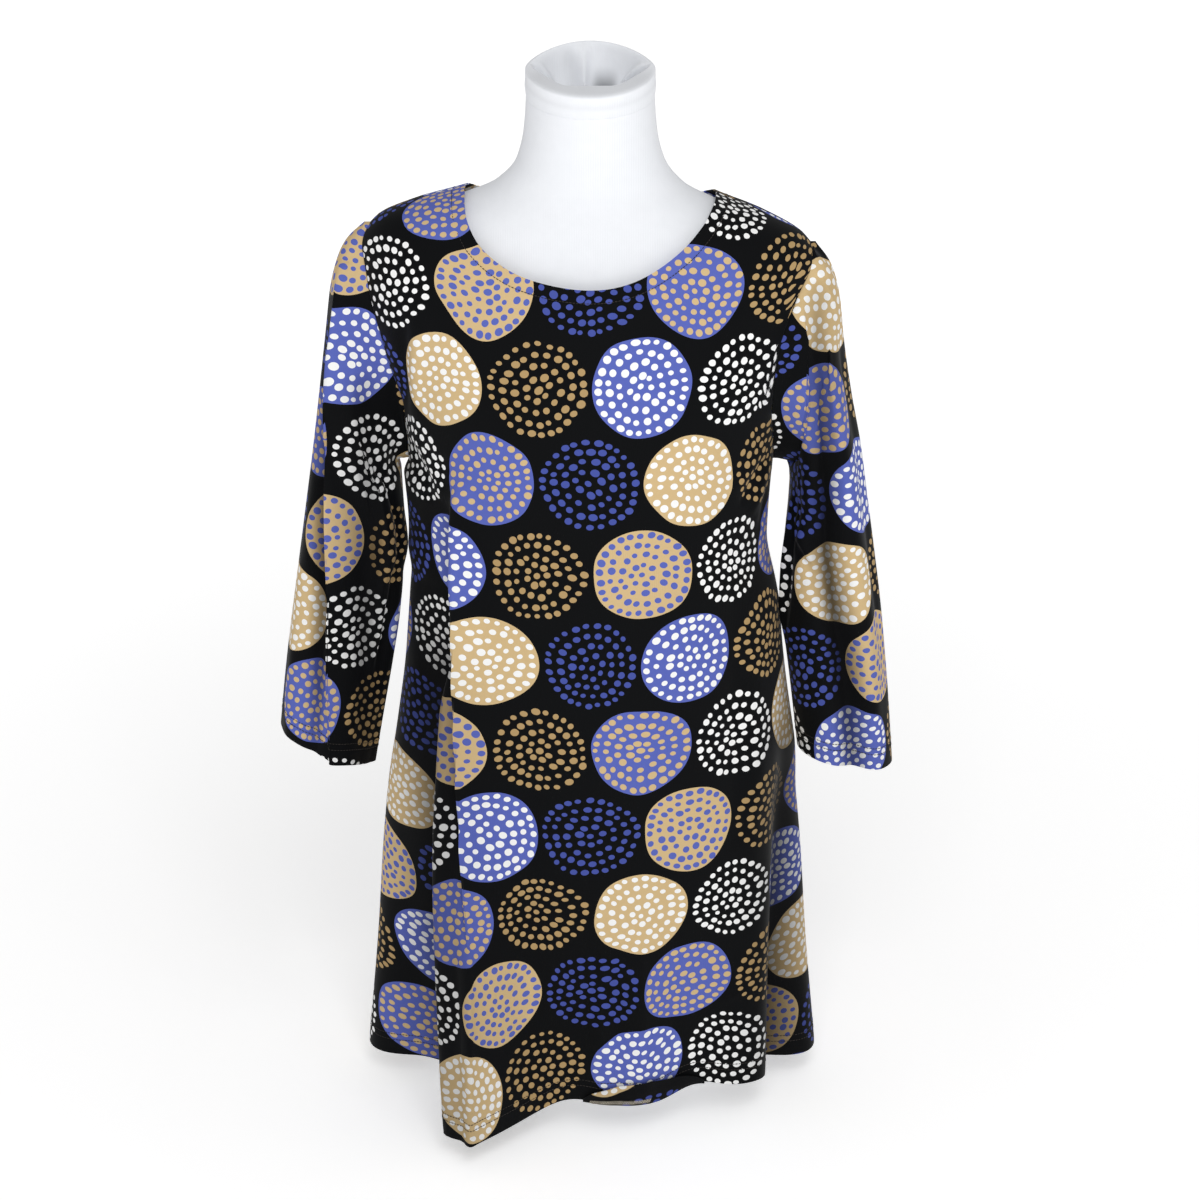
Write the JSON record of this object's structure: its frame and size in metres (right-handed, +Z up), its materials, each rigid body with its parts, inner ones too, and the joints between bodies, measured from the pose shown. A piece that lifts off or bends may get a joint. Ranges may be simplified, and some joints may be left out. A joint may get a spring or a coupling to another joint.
{
  "type": "tunic top on a limbless dress form",
  "caption": "A-line jersey tunic with a scoop neck and three-quarter sleeves, its skirt in deep uneven folds, worn by a smooth limbless dress form that stands on its flat base.",
  "frame": {"origin": "on the floor, under the neck's centre, in the flat base of the dress form", "axes": "+Z up, the front of the garment faces -Y, +X is the wearer's left"},
  "size_m": [0.5549, 0.3398, 0.9646],
  "materials": {
    "printed_jersey": "matte jersey knit, black ground with a dotted print",
    "white_form_cover": "matte white stretch cover"
  },
  "bodies": {
    "root": {"front": "printed_jersey", "back": "printed_jersey", "sleeve_left": "printed_jersey", "sleeve_right": "printed_jersey", "form_torso": "white_form_cover", "form_neck_cover": "white_form_cover"}
  },
  "joints": []
}
